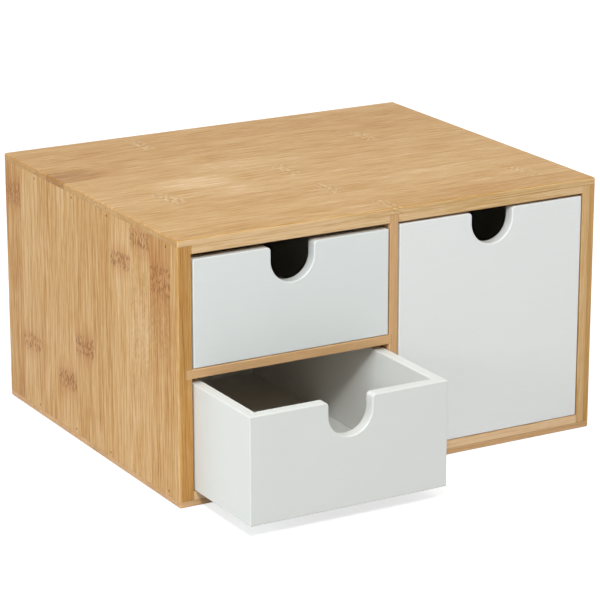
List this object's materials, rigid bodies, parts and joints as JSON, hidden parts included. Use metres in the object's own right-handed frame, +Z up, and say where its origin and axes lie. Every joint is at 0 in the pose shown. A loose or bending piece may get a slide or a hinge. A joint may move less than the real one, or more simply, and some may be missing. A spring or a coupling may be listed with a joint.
{
  "type": "desktop mini drawers",
  "caption": "Bamboo desktop box with low drawers beside a tall drawer, each pulled out by a half-round finger notch, for stationery, craft supplies and small parts.",
  "frame": {"origin": "centre of the case's underside, where it stands on the table", "axes": "+X to the right seen from the front, +Y from the drawer fronts to the back, +Z up"},
  "size_m": [0.25, 0.2624, 0.14],
  "materials": {
    "bamboo_top": "clear satin lacquer, grain along X",
    "bamboo_bottom": "clear satin lacquer, grain along X",
    "bamboo_side": "clear satin lacquer, upright strips",
    "bamboo_partition": "clear satin lacquer",
    "back_board": "thin plywood, sanded",
    "painted_board": "satin white paint",
    "drawer_floor": "satin white paint",
    "steel": "bare brad heads"
  },
  "bodies": {
    "case": {"top_panel": "bamboo_top", "bottom_panel": "bamboo_bottom", "left_side_panel": "bamboo_side", "right_side_panel": "bamboo_side", "centre_divider": "bamboo_partition", "shelf": "bamboo_partition", "back_panel": "back_board", "left_side_brads": "steel", "right_side_brads": "steel"},
    "upper_drawer": {"upper_drawer_front": "painted_board", "upper_drawer_left_side": "painted_board", "upper_drawer_right_side": "painted_board", "upper_drawer_back": "painted_board", "upper_drawer_bottom": "drawer_floor"},
    "lower_drawer": {"lower_drawer_front": "painted_board", "lower_drawer_left_side": "painted_board", "lower_drawer_right_side": "painted_board", "lower_drawer_back": "painted_board", "lower_drawer_bottom": "drawer_floor"},
    "tall_drawer": {"tall_drawer_front": "painted_board", "tall_drawer_left_side": "painted_board", "tall_drawer_right_side": "painted_board", "tall_drawer_back": "painted_board", "tall_drawer_bottom": "drawer_floor"}
  },
  "joints": [
    {"name": "upper_drawer_slide", "type": "slide", "parent": "case", "child": "upper_drawer", "axis": [0, -1, 0], "range_m": [0, 0.16]},
    {"name": "lower_drawer_slide", "type": "slide", "parent": "case", "child": "lower_drawer", "axis": [0, -1, 0], "range_m": [-0.0574, 0.1026]},
    {"name": "tall_drawer_slide", "type": "slide", "parent": "case", "child": "tall_drawer", "axis": [0, -1, 0], "range_m": [0, 0.16]}
  ]
}
